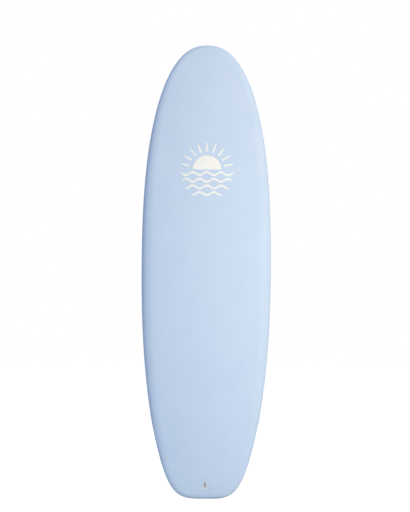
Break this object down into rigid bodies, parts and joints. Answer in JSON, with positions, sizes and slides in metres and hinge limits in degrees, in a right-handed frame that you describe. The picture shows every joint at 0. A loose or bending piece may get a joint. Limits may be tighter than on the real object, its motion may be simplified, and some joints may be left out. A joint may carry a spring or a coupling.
{
  "type": "soft-top surfboard",
  "caption": "Soft-deck surfboard of mid length with round nose, rounded squash tail, foam core with wooden stringers, slick bottom, leash plug and removable raked fins.",
  "frame": {"origin": "on the ground plane under the middle of the whole, at the tail end of the board, which stands upright as in the picture", "axes": "+Z from tail to nose, X across the board (+X on the right of the picture), deck towards -Y, bottom and fins towards +Y"},
  "size_m": [0.568, 0.2252, 1.981],
  "materials": {
    "deck_foam": "matte",
    "slick_bottom": "gloss",
    "stringer_wood": "satin",
    "bead_foam": "matte",
    "plug_plastic": "satin",
    "box_plastic": "satin",
    "fin_nylon": "satin",
    "stainless_steel": "satin"
  },
  "bodies": {
    "board": {"deck_skin": "deck_foam", "bottom_skin": "slick_bottom", "stringer_left": "stringer_wood", "stringer_centre": "stringer_wood", "stringer_right": "stringer_wood", "core_left_outer": "bead_foam", "core_left_inner": "bead_foam", "core_right_inner": "bead_foam", "core_right_outer": "bead_foam", "leash_plug": "plug_plastic", "leash_pin": "stainless_steel", "fin_box_left": "box_plastic", "fin_box_centre": "box_plastic", "fin_box_right": "box_plastic"},
    "fin_left": {"fin_left": "fin_nylon"},
    "fin_centre": {"fin_centre": "fin_nylon"},
    "fin_right": {"fin_right": "fin_nylon"},
    "screw_left_rear": {"fin_screw_left_rear": "stainless_steel"},
    "screw_left_front": {"fin_screw_left_front": "stainless_steel"},
    "screw_centre_rear": {"fin_screw_centre_rear": "stainless_steel"},
    "screw_centre_front": {"fin_screw_centre_front": "stainless_steel"},
    "screw_right_rear": {"fin_screw_right_rear": "stainless_steel"},
    "screw_right_front": {"fin_screw_right_front": "stainless_steel"}
  },
  "joints": [
    {"name": "fin_left_slide", "type": "slide", "parent": "board", "child": "fin_left", "axis": [-0.1044, 0.9928, -0.0588], "range_m": [0, 0.02]},
    {"name": "fin_centre_slide", "type": "slide", "parent": "board", "child": "fin_centre", "axis": [0, 0.9958, -0.0911], "range_m": [0, 0.02]},
    {"name": "fin_right_slide", "type": "slide", "parent": "board", "child": "fin_right", "axis": [0.1044, 0.9928, -0.0588], "range_m": [0, 0.02]},
    {"name": "screw_left_rear_turn", "type": "hinge", "parent": "board", "child": "screw_left_rear", "pos_m": [-0.19271, -0.00784, 0.32138], "axis": [-0.7184, 0.6956, -0.0073], "range_deg": [0, 720]},
    {"name": "screw_left_front_turn", "type": "hinge", "parent": "board", "child": "screw_left_front", "pos_m": [-0.18988, -0.00436, 0.37519], "axis": [-0.7184, 0.6956, -0.0073], "range_deg": [0, 720]},
    {"name": "screw_centre_rear_turn", "type": "hinge", "parent": "board", "child": "screw_centre_rear", "pos_m": [0.00534, -0.02325, 0.12634], "axis": [0.6428, 0.7629, -0.0698], "range_deg": [0, 720]},
    {"name": "screw_centre_front_turn", "type": "hinge", "parent": "board", "child": "screw_centre_front", "pos_m": [0.00534, -0.01833, 0.18012], "axis": [0.6428, 0.7629, -0.0698], "range_deg": [0, 720]},
    {"name": "screw_right_rear_turn", "type": "hinge", "parent": "board", "child": "screw_right_rear", "pos_m": [0.19271, -0.00784, 0.32138], "axis": [0.7184, 0.6956, -0.0073], "range_deg": [0, 720]},
    {"name": "screw_right_front_turn", "type": "hinge", "parent": "board", "child": "screw_right_front", "pos_m": [0.18988, -0.00436, 0.37519], "axis": [0.7184, 0.6956, -0.0073], "range_deg": [0, 720]}
  ]
}
